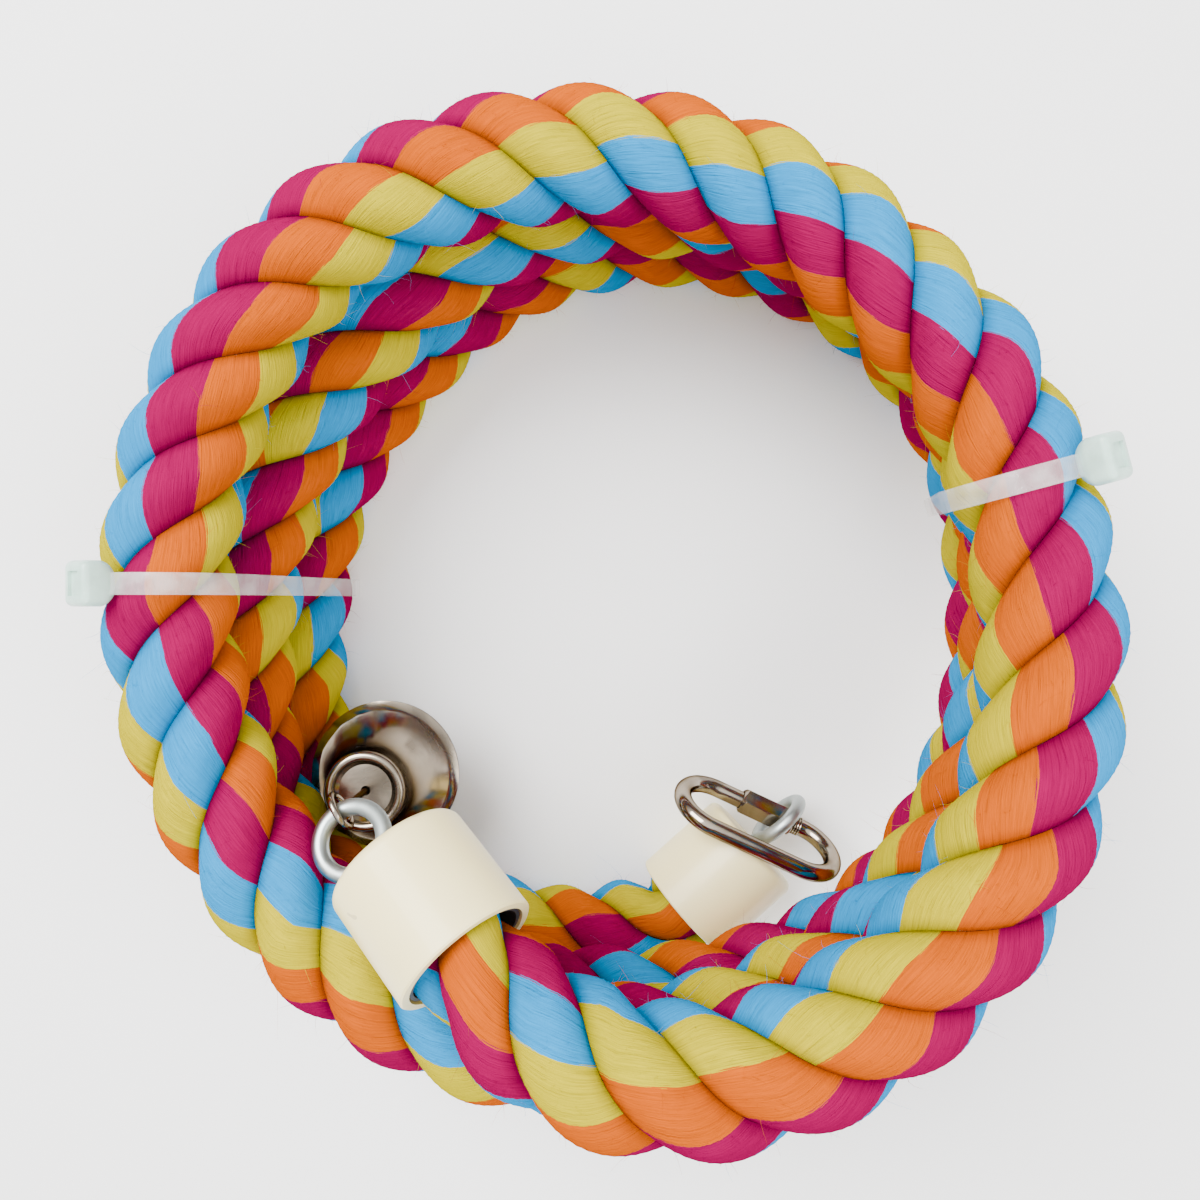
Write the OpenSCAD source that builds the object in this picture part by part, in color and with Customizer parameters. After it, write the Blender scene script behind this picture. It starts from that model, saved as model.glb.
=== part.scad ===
// Bird perch: a bendable three-strand cotton rope with a wire core, coiled and tied as it is sold.
// Each end sits in a plastic cap with an eye bolt; one eye carries a bell, the other a quick link.
// Millimetres. +Z is up, the coil lies on z = 0, and the origin is under the middle of the coil.

/* [Rope] */
// Diameter of the rope over its strands
rope_d = 30; // [29:0.1:30.4]
// Length of one turn of the lay
lay_l = 61; // [56:1:70]
// Gap between two strands at the valley
strand_gap = 0.6; // [0.4:0.05:0.9]
// Depth of the valley between two strands
valley = 3.6; // [3:0.1:4.5]
// Diameter of the core wire
core_d = 3; // [2:0.1:3.4]
// How much narrower the rope is where it is bound inside a cap
bind = 5; // [4.8:0.1:7]

/* [Coil] */
// Half the free width inside a turn, along X
inner_x = 83; // [82:0.5:85]
// Half the free width inside a turn, along Y
inner_y = 87; // [86:0.5:89]
// Air between one turn and the next
turn_gap = 1.5; // [1.3:0.1:2]
// Part of a turn, after which it climbs to the next layer
climb_from = 0.6; // [0.5:0.01:0.62]

/* [End caps] */
// How much wider a cap is than the rope
cap_over = 2; // [1.2:0.1:2.2]
// Length of a cap
cap_l = 27; // [26:0.5:29]
// Side wall of a cap
cap_wall = 2; // [1.4:0.1:2.2]
// End wall of a cap
cap_end = 3; // [2:0.1:3.6]
// Thickness of the binding tape
wrap_t = 0.8; // [0.4:0.1:0.9]
// Length of the binding tape
wrap_l = 15; // [10:0.5:15]

/* [Eye bolts] */
// Diameter of the eye's wire and the bolt's shank
eye_wire = 3.8; // [3:0.1:4]
// Inner diameter of the eye
eye_in = 11.2; // [11:0.1:12]
// Air between the bell bolt's washer and the side of its cap
washer_air = 0.5; // [0.3:0.1:2]
// Free shank between cap and eye
eye_neck = 0.4; // [0.2:0.1:2]
// Diameter of the washer inside a cap
washer_d = 16; // [14:0.5:16.4]
// Thickness of that washer
washer_t = 1.2; // [0.8:0.1:1.4]
// Width of the nut across its flats
nut_af = 7; // [6.5:0.1:8]
// Thickness of the nut
nut_t = 3.2; // [2.4:0.1:3.4]

/* [Quick link] */
// Wire of the link
link_wire = 4.8; // [4.4:0.1:4.8]
// Length of the link over all
link_l = 50; // [49:0.5:51]
// Distance between the middles of its two long sides
link_w = 19.5; // [19.4:0.1:20]
// Sleeve nut across its flats
sleeve_af = 7; // [6.8:0.1:7.2]
// Length of the sleeve nut
sleeve_l = 16; // [14:0.5:17]
// Opening of the link that the sleeve nut closes
gate = 5; // [4:0.5:6]

/* [Bell] */
// Diameter of the bell's mouth
bell_d = 39; // [36:0.5:40]
// Height of the bell
bell_h = 27; // [24:0.5:28]
// Diameter of the bell's crown
crown_d = 20; // [18:0.5:22]
// Sheet thickness
bell_t = 0.9; // [0.7:0.1:1.2]
// Wire of the hanger
hanger_wire = 1.6; // [1.2:0.1:1.8]
// Ball of the clapper
clapper_d = 7; // [5:0.5:8]

/* [Ties] */
// Width of a tie's strap
tie_w = 4.8; // [3.6:0.1:5]
// Thickness of a tie's strap
tie_t = 1.2; // [0.9:0.1:1.4]
// Slack between strap and rope
tie_gap = 0.5; // [0.4:0.05:0.6]

/* [Hidden] */

rope_r = rope_d / 2;
cap_d = rope_d + cap_over;
bound_d = rope_d - bind;
floor_cut = rope_d / 10;
rest_z = rope_r - floor_cut;
coil_rx = inner_x + rope_r;
coil_ry = inner_y + rope_r;
coil_pitch = rope_d + turn_gap;
top_z = rest_z + 2 * coil_pitch;
loop_pts = 24;
first_loop = 4;
last_loop = 66;
ref_angle = 300;
layer_1 = [9, 3];
lean = [-5.5, -2];
low_bulge = [[0, 2], [45, 4], [90, 0], [140, -6], [180, 0], [215, 11.5], [250, 4], [285, 4],
    [310, 7], [340, 4], [360, 2]];
top_bulge = [[0, 0], [45, -4], [135, 3], [215, -2], [270, 0], [360, 0]];
steps = 3;
lay_rings = 6.5;

cap_r = cap_d / 2;
cap_in = cap_r - cap_wall;
cap_lift = 0.3;
shank_r = eye_wire / 2;
shank_end = 1.2;
seat_z = cap_l - cap_end;
shank_from = seat_z - washer_t - nut_t - shank_end;
rope_air = 2.4;
rope_in = shank_from - rope_air;
eye_r = eye_in / 2 + shank_r;
eye_z = cap_l + eye_neck + shank_r + eye_r;
eye_off = cap_in - washer_d / 2 - washer_air;

// A smooth step from 0 to 1
function ease(t) = let (c = min(max(t, 0), 1)) c * c * (3 - 2 * c);
function aim(az, up) = [cos(up) * cos(az), cos(up) * sin(az), sin(up)];

// A point of the coil, by its angle, its layer from 0 to 2, and how far it stands inwards
function coil_at(a, lay, inward) =
    let (w = ease(lay - 1),
        b = (1 - w) * lookup(a, low_bulge) + w * lookup(a, top_bulge) - inward)
    [layer_1.x + lean.x * lay + (coil_rx + b) * cos(a),
        layer_1.y + lean.y * lay + (coil_ry + b) * sin(a),
        rest_z + coil_pitch * lay];
function turn_point(i) =
    let (u = i / loop_pts,
        a = ((ref_angle - 360 * u) % 360 + 360) % 360,
        lay = floor(u) + ease((u - floor(u) - climb_from) / (1 - climb_from)))
    coil_at(a, lay, 0);

// The link leans with its plain side on its cap, clear of the coil, and its nut side through the eye
link_az = 42;
link_az2 = -25;
link_cross = 7;
link_up = 0.8;
link_out = 0.7;
link_side_at = [39.055, -66.46, 0];
least_reach = 7.7;
link_dir = aim(link_az, 0);
link_x = aim(link_az2, 0);
link_rise = cap_r + cap_lift + link_wire / 2 - link_up;
link_tilt = asin(min(1, link_rise / link_w));
link_y = aim(link_az2 - 90, link_tilt);
link_reach = max(link_w * cos(link_tilt), least_reach);
link_at = link_side_at - link_reach * aim(link_az2 - 90, 0) + [0, 0, cap_r + cap_lift + link_up];
link_mouth = link_at + link_cross * link_x - [0, 0, link_up] - (link_out + eye_z) * link_dir;

// The bell hangs under the top turn, its mouth beside the two turns below, from the lowest point of its eye
bell_pos = 218.17;
crown_air = 2;
bell_air = 2.5;
eye_wall = 84.75;
bell_z = top_z - rope_r - crown_air - bell_h;
function wall_at(lay) =
    let (p = coil_at(bell_pos, lay, rope_r), dz = abs(bell_z - p.z))
    norm([p.x, p.y]) + rope_r - sqrt(max(0, rope_r * rope_r - dz * dz));
bell_az = 134.5;
bell_dip = 25;
bell_roll = 96;
bell_lift = 0.8;
hang_drop = 18.8;
bell_dir = aim(bell_az, -bell_dip);
bell_side = [-sin(bell_az), cos(bell_az), 0];
bell_down = [-sin(bell_dip) * cos(bell_az), -sin(bell_dip) * sin(bell_az), -cos(bell_dip)];
ring_side = -cos(bell_roll) * bell_down - sin(bell_roll) * bell_side;
low_a = atan2(-ring_side.z, -bell_dir.z);
hang_dir = cos(low_a) * bell_dir + sin(low_a) * ring_side;
hang_az = atan2(hang_dir.y, hang_dir.x);
bell_wall = min(wall_at(0), wall_at(1)) - bell_air;
hang_z = top_z + bell_lift * rope_d - hang_drop;
hang_at = min(bell_wall - bell_d / 2, eye_wall - eye_r) * aim(bell_pos, 0) + [0, 0, hang_z];
bell_mouth = hang_at - eye_r * hang_dir - eye_z * bell_dir - eye_off * bell_side;

// Both ends of the rope leave the coil: angle on the turn, way inwards, and share of the rise
link_end = [[250.45, 0.41, 0], [259.47, 3.47, 0.14], [268.78, 7.98, 0.512]];
bell_end = [[13.55, 4.73, 0.476], [357.63, 5.42, 0.651], [342.65, 4.76, 0.794], [328.31, 3.98, 0.905],
    [314.08, 3.85, 0.968], [299.02, 4.22, 1], [284.47, 5.95, 1.016], [270.98, 10.49, 1.016],
    [259.32, 16.64, 0.921]];
lead = 5;
route = concat(
    [for (d = [rope_in, 0, -lead]) link_mouth + d * link_dir],
    [for (i = [len(link_end) - 1:-1:0]) let (e = link_end[i])
        coil_at(e[0], 0, e[1]) + [0, 0, e[2] * (link_mouth.z - rest_z)]],
    [for (i = [first_loop:last_loop]) turn_point(i)],
    [for (e = bell_end) coil_at(e[0], 2, e[1]) + [0, 0, e[2] * coil_pitch]],
    [for (d = [-lead, 0, rope_in]) bell_mouth + d * bell_dir]);

// Catmull-Rom curve through the route's points
function knot(p, i) = i < 0 ? 2 * p[0] - p[1] : i >= len(p) ? 2 * p[len(p) - 1] - p[len(p) - 2] : p[i];
function spline(p, i, t) =
    let (a = knot(p, i - 1), b = p[i], c = p[i + 1], d = knot(p, i + 2))
    0.5 * (2 * b + (c - a) * t + (2 * a - 5 * b + 4 * c - d) * t * t + (3 * b - a - 3 * c + d) * t * t * t);
function sums(p) = [for (i = 0, s = 0; i < len(p); s = s + (i + 1 < len(p) ? norm(p[i + 1] - p[i]) : 0),
    i = i + 1) s];
fine = concat([for (i = [0:len(route) - 2], k = [0:steps * 2 - 1]) spline(route, i, k / steps / 2)],
    [route[len(route) - 1]]);
fine_s = sums(fine);
rope_l = fine_s[len(fine_s) - 1];
at_s = [for (i = [0:len(fine) - 1]) [fine_s[i], i]];
function along(s) =
    let (f = lookup(s, at_s), i = min(floor(f), len(fine) - 2))
    fine[i] + (fine[i + 1] - fine[i]) * (f - i);
function unit(v) = v / norm(v);
look = 3;
function heading(s) = unit(along(min(s + look, rope_l)) - along(max(s - look, 0)));
function on_route(q) =
    let (d = [for (f = fine) norm(f - q)], i = search(min(d), d)[0], s = fine_s[i])
    along(s + (q - fine[i]) * heading(s));

// The rope is narrower where it is bound, and swells to its full size past the cap
swell_l = 22;
function swell(s) =
    let (e = min(s, rope_l - s))
    bound_d / rope_d + (1 - bound_d / rope_d) * ease((e - rope_in) / swell_l);

ring_n = ceil(rope_l / lay_l * lay_rings);
core_air = 1.3;
hole_r = core_d / 2 + core_air;
strands = 3;
valley_r = rope_r - valley;
valley_a = 180 / strands - asin(strand_gap / 2 / valley_r);
crest_a = 90 / strands;
lobe = [[hole_r, 0], [valley_r, -valley_a], [rope_r, -crest_a], [rope_r, 0], [rope_r, crest_a],
    [valley_r, valley_a]];

// Where a tie passes under the lowest turn, the turn is pressed up by the strap
press_l = 16;
press_air = 0.3;
function low(p) = norm([p.x, p.y] - [tie_left_at.x, tie_left_at.y]) < press_l + rope_r
    && abs(p.y - tie_left_at.y) < press_l ? tie_t + press_air : 0;
function seat(p) = [p.x, p.y, max(p.z, low(p))];

function ring(section, s, a0, k) =
    let (c = along(s), t = heading(s), n1 = unit(cross([0, 0, 1], t)), n2 = cross(t, n1))
    [for (v = section) let (a = a0 + v[1]) seat(c + k * v[0] * (cos(a) * n1 + sin(a) * n2))];

module tube(rings) {
    m = len(rings[0]);
    n = len(rings);
    last = (n - 1) * m;
    // Both walls of a strand are split along the same diagonal, so that neighbours don't cut into each other
    sides = [for (i = [0:n - 2], j = [0:m - 1])
        let (a = i * m + j, b = i * m + (j + 1) % m)
        each j == 0 ? [[b, a, b + m], [a, a + m, b + m]] : [[b, a, a + m], [b, a + m, b + m]]];
    start = [for (j = [1:m - 2]) [0, j, j + 1]];
    stop = [for (j = [1:m - 2]) [last, last + j + 1, last + j]];
    polyhedron([for (r = rings) each r], concat(start, sides, stop));
}

module strand(k) {
    tube([for (i = [0:ring_n])
        let (s = rope_l * i / ring_n)
        ring(lobe, s, 360 * (k / strands + s / lay_l), swell(s))]);
}

module strand_1() { color("deeppink") strand(0); }
module strand_2() { color("orange") strand(1); }
module strand_3() { color("deepskyblue") strand(2); }

core_n = 130;
core_sides = 5;
module core_wire() {
    section = [for (j = [0:core_sides - 1]) [core_d / 2, 360 * j / core_sides]];
    color("silver")
        tube([for (i = [0:core_n]) let (s = rope_l * i / core_n) ring(section, s, 0, 1)]);
}

module at_bell() { translate(bell_mouth) rotate([0, 90 + bell_dip, bell_az]) children(); }
module at_link() { translate(link_mouth) rotate([0, 90, link_az]) children(); }

module pipe(r_out, r_in, h) {
    difference() {
        cylinder(r = r_out, h = h, $fn = 72);
        translate([0, 0, -1]) cylinder(r = r_in, h = h + 2, $fn = 72);
    }
}

wrap_air = 0.25;
wrap_at = 0.5;
wrap_in = bound_d / 2 + wrap_air;
module end_wrap() { color("dimgray") translate([0, 0, wrap_at]) pipe(wrap_in + wrap_t, wrap_in, wrap_l); }
module end_wrap_bell() { at_bell() end_wrap(); }
module end_wrap_link() { at_link() end_wrap(); }

cap_edge = 2.2;
cap_bevel = 0.4;
shank_fit = 0.1;
module end_cap(hole_y) {
    color("ivory") difference() {
        rotate_extrude($fn = 96)
            polygon(concat([[0, 0], [cap_r - cap_bevel, 0], [cap_r, cap_bevel]],
                [for (a = [0:15:90]) [cap_r - cap_edge + cap_edge * cos(a),
                    cap_l - cap_edge + cap_edge * sin(a)]],
                [[0, cap_l]]));
        translate([0, 0, -1]) cylinder(r = cap_in, h = cap_l - cap_end + 1, $fn = 96);
        translate([0, hole_y, 0]) cylinder(r = shank_r + shank_fit, h = cap_l + 1, $fn = 48);
    }
}
module end_cap_bell() { at_bell() end_cap(eye_off); }
module end_cap_link() { at_link() end_cap(0); }

module at_bell_eye() { at_bell() translate([0, eye_off, 0]) children(); }
module eye_bolt(roll) {
    color("lightgray") union() {
        translate([0, 0, shank_from]) cylinder(r = shank_r, h = eye_z - eye_r - shank_from, $fn = 48);
        translate([0, 0, eye_z]) rotate([0, 0, roll]) rotate([90, 0, 0])
            rotate_extrude($fn = 72) translate([eye_r, 0]) circle(r = shank_r, $fn = 32);
    }
}
module eye_bolt_bell() { at_bell_eye() eye_bolt(bell_roll); }
module eye_bolt_link() { at_link() eye_bolt(0); }

module washer() {
    color("silver") translate([0, 0, seat_z - washer_t]) pipe(washer_d / 2, shank_r + shank_fit, washer_t);
}
module washer_bell() { at_bell_eye() washer(); }
module washer_link() { at_link() washer(); }

module hex_nut() {
    color("silver") translate([0, 0, seat_z - washer_t - nut_t]) difference() {
        cylinder(d = nut_af / cos(30), h = nut_t, $fn = 6);
        translate([0, 0, -1]) cylinder(r = shank_r + shank_fit / 2, h = nut_t + 2, $fn = 48);
    }
}
module nut_bell() { at_bell_eye() hex_nut(); }
module nut_link() { at_link() hex_nut(); }

// A tie stands in the upright plane square to the three stacked turns that it binds
tie_left_u = 8 / loop_pts;
tie_right_u = 19 / loop_pts;
tie_left_at = turn_point(tie_left_u * loop_pts);
head_l = 11;
head_w = 8;
head_t = 6;
head_a = 35;
tie_fn = 48;
head_edge = 1;
off_floor = 0.1;
above = coil_rx * 2;

module loop_outline(flat, r, floor_z) {
    intersection() {
        hull() for (q = flat) translate(q) circle(r = r, $fn = tie_fn);
        translate([-above, floor_z]) square(above * 2);
    }
}

module head_outline(at, r) {
    translate(at) rotate(head_a) translate([r, -head_l / 2])
        hull() for (x = [head_edge, head_t - head_edge], y = [head_edge, head_l - head_edge])
            translate([x, y]) circle(r = head_edge, $fn = 24);
}

module tie(u) {
    p = [for (k = [0:2]) on_route(turn_point((u + k) * loop_pts))];
    az = ref_angle - 360 * u;
    flat = [for (q = p) [(q - p[0]) * [cos(az), sin(az), 0], q.z]];
    r_in = rope_r + tie_gap;
    translate([p[0].x, p[0].y, 0]) rotate([90, 0, az]) color("gainsboro") union() {
        translate([0, 0, -tie_w / 2]) linear_extrude(tie_w) difference() {
            loop_outline(flat, r_in + tie_t, off_floor);
            loop_outline(flat, r_in, off_floor + tie_t);
        }
        translate([0, 0, -head_w / 2]) linear_extrude(head_w) difference() {
            head_outline(flat[2], r_in + tie_t - head_edge);
            loop_outline(flat, r_in, off_floor + tie_t);
        }
    }
}

module tie_left() { tie(tie_left_u); }
module tie_right() { tie(tie_right_u); }

link_half = (link_l - link_w - link_wire) / 2;
sleeve_to = 10.5;
gate_to = 9;
gate_from = gate_to - gate;
sleeve_fit = 0.1;
module in_link() {
    n = cross(link_x, link_y);
    multmatrix([[link_x.x, link_y.x, n.x, link_at.x], [link_x.y, link_y.y, n.y, link_at.y],
        [link_x.z, link_y.z, n.z, link_at.z], [0, 0, 0, 1]]) children();
}

module rod_x(x0, x1, r, y = 0) {
    translate([x0, y, 0]) rotate([0, 90, 0]) cylinder(r = r, h = x1 - x0, $fn = 48);
}

module link_bend(x, a) {
    translate([x, link_w / 2, 0]) rotate([0, 0, a])
        rotate_extrude(angle = 180, $fn = 72) translate([link_w / 2, 0]) circle(r = link_wire / 2, $fn = 32);
}

module quick_link() {
    in_link() color("silver") union() {
        rod_x(-link_half, link_half, link_wire / 2, link_w);
        link_bend(link_half, -90);
        link_bend(-link_half, 90);
        rod_x(-link_half, gate_from, link_wire / 2);
        rod_x(gate_to, link_half, link_wire / 2);
    }
}

module sleeve_nut() {
    in_link() color("gainsboro") translate([sleeve_to - sleeve_l, 0, 0]) rotate([0, 90, 0]) difference() {
        cylinder(d = sleeve_af / cos(30), h = sleeve_l, $fn = 6);
        translate([0, 0, -1]) cylinder(r = link_wire / 2 + sleeve_fit, h = sleeve_l + 2, $fn = 48);
    }
}

wire_r = hanger_wire / 2;
hook_play = 1.2;
hook_gap = 0.5;
hook_r = shank_r + hook_play + wire_r;
hook_z = hang_at.z + hook_gap - hook_play;
bead_r = 2;
bead_gap = 0.3;
dish = 2.6;
dish_z = bell_h - dish;
bead_z = bell_z + dish_z - bell_t - bead_gap - bead_r;
small_r = 1.9;
sunk = 0.4;
small_z = bead_z - bead_r - small_r + sunk;
pin_z = small_z - small_r;
clapper_r = clapper_d / 2;
clapper_up = 1.5;
clapper_z = bell_z + clapper_up + clapper_r;
thin_r = 0.6;

module at_hang() { translate([hang_at.x, hang_at.y, 0]) rotate([0, 0, hang_az]) children(); }
module small_ring(r_mid, r) { rotate_extrude($fn = 48) translate([r_mid, 0]) circle(r = r, $fn = 24); }

module bell_hanger() {
    at_hang() color("silver") union() {
        translate([0, 0, hook_z]) rotate([90, 0, 0]) small_ring(hook_r, wire_r);
        translate([0, 0, bead_z]) cylinder(r = wire_r, h = hook_z - hook_r - bead_z, $fn = 32);
        translate([0, 0, bead_z]) sphere(r = bead_r, $fn = 32);
        translate([0, 0, small_z]) rotate([90, 0, 0]) small_ring(small_r, wire_r);
    }
}

mouth_r = bell_d / 2;
crown_r = crown_d / 2;
flare = 2.6;
lip = 0.3;
side_n = 12;
rim_r = 1.3;
side_h = bell_h - rim_r;
hole_air = 0.4;
crown_hole = wire_r + hole_air;
bell_side_pts = [for (i = [0:side_n])
    [crown_r + (mouth_r - crown_r) * pow(1 - i / side_n, flare), side_h * i / side_n]];
module bell() {
    inner = [for (p = bell_side_pts) if (p.y < dish_z - bell_t) [p.x - bell_t, p.y]];
    at_hang() translate([0, 0, bell_z]) color("silver") rotate_extrude($fn = 96)
        polygon(concat([[mouth_r - bell_t, 0], [mouth_r + lip, 0], [mouth_r + lip, bell_t]],
            [for (i = [1:side_n]) bell_side_pts[i]],
            [for (a = [30:30:180]) [crown_r - rim_r + rim_r * cos(a), side_h + rim_r * sin(a)]],
            [[crown_r - 2 * rim_r, dish_z + bell_t], [crown_r - 2 * rim_r - bell_t, dish_z],
                [crown_hole, dish_z], [crown_hole, dish_z - bell_t], [crown_r - bell_t, dish_z - bell_t]],
            [for (i = [len(inner) - 1:-1:1]) inner[i]]));
}

module clapper() {
    at_hang() color("silver") union() {
        translate([0, 0, pin_z]) rotate([0, 90, 0]) small_ring(small_r, thin_r);
        translate([0, 0, clapper_z]) cylinder(r = thin_r, h = pin_z - small_r - clapper_z, $fn = 24);
        translate([0, 0, clapper_z]) sphere(r = clapper_r, $fn = 48);
    }
}

strand_1();
strand_2();
strand_3();
core_wire();
end_wrap_bell();
end_wrap_link();
end_cap_bell();
end_cap_link();
eye_bolt_bell();
eye_bolt_link();
washer_bell();
washer_link();
nut_bell();
nut_link();
tie_left();
tie_right();
quick_link();
sleeve_nut();
bell_hanger();
bell();
clapper();

gap_step = 6;
gap_pts = [for (i = [0:gap_step:len(fine) - 1]) i];
least_gap = min([for (i = gap_pts, j = [0:2:len(fine) - 1])
    if (abs(fine_s[i] - fine_s[j]) > 3 * rope_d)
        norm(fine[i] - fine[j]) - rope_r * (swell(fine_s[i]) + swell(fine_s[j]))]);
echo(rope_length = rope_l, rings = ring_n, least_gap = least_gap);
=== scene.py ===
import math
import bpy
import numpy as np
from mathutils import Matrix, Vector


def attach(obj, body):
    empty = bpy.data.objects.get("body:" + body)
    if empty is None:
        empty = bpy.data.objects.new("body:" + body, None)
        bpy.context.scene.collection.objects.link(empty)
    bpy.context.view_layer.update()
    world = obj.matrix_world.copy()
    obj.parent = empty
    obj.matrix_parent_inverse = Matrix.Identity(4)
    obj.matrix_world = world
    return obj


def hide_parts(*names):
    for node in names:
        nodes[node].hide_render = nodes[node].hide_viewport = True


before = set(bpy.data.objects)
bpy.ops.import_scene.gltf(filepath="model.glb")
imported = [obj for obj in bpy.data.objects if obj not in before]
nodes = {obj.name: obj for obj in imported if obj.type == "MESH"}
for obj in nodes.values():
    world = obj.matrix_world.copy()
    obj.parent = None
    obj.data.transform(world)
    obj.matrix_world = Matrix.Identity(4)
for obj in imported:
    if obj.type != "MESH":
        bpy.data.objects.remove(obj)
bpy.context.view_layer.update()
mm = 0.001


def deselectAll():
    if bpy.context.object and bpy.context.object.mode == "EDIT":
        bpy.ops.object.mode_set(mode="OBJECT")
    for item in list(bpy.context.selected_objects):
        item.select_set(False)
    bpy.context.view_layer.objects.active = None


# straight above the coil, as in the photograph
cameraValues = {
    "centre": (-2.6, -0.5, 309.0),  # mm
    "lens": 30.9,  # mm
    "sensor": 36,  # mm
}
deselectAll()
bpy.ops.object.camera_add(location=[c * mm for c in cameraValues["centre"]], rotation=(0, 0, 0))
camera = bpy.context.object
camera.name = "camera"
camera.data.lens = cameraValues["lens"]
camera.data.sensor_width = cameraValues["sensor"]
bpy.context.scene.camera = camera

# the rope's route, as in the construction: from the link's cap up the coil to the bell's cap,
# in metres and degrees
routeValues = {
    "linkMouth": (0.0208, -0.0875, 0.0163),
    "linkAz": 42.0,
    "bellMouth": (-0.0296, -0.0732, 0.099),
    "bellAz": 134.5,
    "bellDip": 25.0,
    "inCap": 0.016,  # rope inside each cap
    "lead": 0.005,  # straight rope before each cap
    "middle": (0.009, 0.003),  # of the lowest turn
    "lean": (-0.0055, -0.002),  # from one turn to the next
    "radiusX": 0.098,
    "radiusY": 0.102,
    "pitch": 0.0315,
    "restZ": 0.012,
    "climbFrom": 0.6,  # share of a turn, after which it climbs
    "startAz": 300,
    "turnPoints": 24,  # points per turn of the coil
    "usedPoints": (4, 67),  # the first of them on the route, and the first past it
    "spanSteps": 16,  # steps between two points of the route
    "tangentReach": 0.003,
}
# the route's points beside the link's cap, from the cap, and those up to the bell's cap
linkEnd = [(0.007, -0.095, 0.0142), (-0.009, -0.0978, 0.0126), (-0.025, -0.0965, 0.012)]
bellEnd = [(0.0875, 0.0215, 0.090), (0.0905, -0.005, 0.0955), (0.087, -0.030, 0.100),
           (0.078, -0.0525, 0.1035), (0.0635, -0.0715, 0.1055), (0.0435, -0.0865, 0.1065),
           (0.021, -0.094, 0.107), (-0.0005, -0.0925, 0.107), (-0.017, -0.0845, 0.104)]
# how far the turns stand out from a plain oval: degrees round the coil, mm
lowBulge = [(0, 2), (45, 4), (90, 0), (140, -6), (180, 0), (215, 11.5), (250, 4),
            (285, 4), (310, 7), (340, 4), (360, 2)]
topBulge = [(0, 0), (45, -4), (135, 3), (215, -2), (270, 0), (360, 0)]


def ease(t):
    c = np.clip(t, 0, 1)
    return c * c * (3 - 2 * c)


def tableValue(x, table):
    return np.interp(x, [p[0] for p in table], [p[1] for p in table])


def aim(az, up):
    a, b = math.radians(az), math.radians(up)
    return np.array([math.cos(b) * math.cos(a), math.cos(b) * math.sin(a), math.sin(b)])


def turnPoint(i):
    rv = routeValues
    u = i / rv["turnPoints"]
    a = (rv["startAz"] - 360 * u) % 360
    lay = math.floor(u) + ease((u % 1 - rv["climbFrom"]) / (1 - rv["climbFrom"]))
    w = ease(lay - 1)
    bulge = ((1 - w) * tableValue(a, lowBulge) + w * tableValue(a, topBulge)) * mm
    x = rv["middle"][0] + rv["lean"][0] * lay + (rv["radiusX"] + bulge) * math.cos(math.radians(a))
    y = rv["middle"][1] + rv["lean"][1] * lay + (rv["radiusY"] + bulge) * math.sin(math.radians(a))
    return (x, y, rv["restZ"] + rv["pitch"] * lay)


linkMouth = np.array(routeValues["linkMouth"])
bellMouth = np.array(routeValues["bellMouth"])
linkDir = aim(routeValues["linkAz"], 0)
bellDir = aim(routeValues["bellAz"], -routeValues["bellDip"])
inCap, lead = routeValues["inCap"], routeValues["lead"]
knots = [linkMouth + d * linkDir for d in (inCap, 0, -lead)]
knots += linkEnd + [turnPoint(i) for i in range(*routeValues["usedPoints"])] + bellEnd
knots += [bellMouth + d * bellDir for d in (-lead, 0, inCap)]
knots = np.array(knots)


def smoothPath(p, n):
    q = np.vstack([2 * p[0] - p[1], p, 2 * p[-1] - p[-2]])
    t = (np.arange(n) / n)[:, None]
    spans = []
    for k in range(len(p) - 1):
        a, b, c, d = q[k:k + 4]
        spans.append(0.5 * (2 * b + (c - a) * t + (2 * a - 5 * b + 4 * c - d) * t * t
                            + (3 * b - a - 3 * c + d) * t ** 3))
    return np.vstack(spans + [p[-1:]])


route = smoothPath(knots, routeValues["spanSteps"])
routeS = np.concatenate([[0], np.cumsum(np.linalg.norm(np.diff(route, axis=0), axis=1))])
ropeLength = routeS[-1]


def along(s):
    return np.stack([np.interp(s, routeS, route[:, k]) for k in range(3)], axis=-1)


def ringFrame(s):
    reach = routeValues["tangentReach"]
    t = along(np.minimum(s + reach, ropeLength)) - along(np.maximum(s - reach, 0))
    t /= np.linalg.norm(t, axis=-1, keepdims=True)
    side = np.cross([0, 0, 1], t)
    side /= np.linalg.norm(side, axis=-1, keepdims=True)
    return t, side, np.cross(t, side)


# three strands laid round each other, in one mesh
ropeValues = {
    "radius": 0.015,
    "strandRadius": 0.0092,
    "strandOff": 0.0058,  # from the rope's axis to a strand's middle
    "lay": 0.061,
    "ringGap": 0.0018,  # from one ring of points to the next
    "halfLobe": 92.5,  # degrees of a strand's round outer side, either way
    "lobeSides": 20,
    "innerSides": 4,
    "coreGap": 0.001,  # a strand's inner side stays this far from the axis
    "boundShare": 25 / 30,  # thickness where the rope is bound, in the caps
    "swellOver": 0.022,  # length over which it grows from that to its full thickness
    "pressAt": 8,  # point of the lowest turn that lies on the left tie's strap
    "pressed": 0.0015,  # height of the rope's underside there
    "pressReach": 0.016,
    "breathe": 0.012,  # share by which a strand's thickness varies
    "breaths": ((0.047, 2), (0.029, 5)),  # wave lengths, and how the strands differ in phase
    "faceShare": 1.25,  # a strand's outer half holds more of its yarns than its inner half
}
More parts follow.
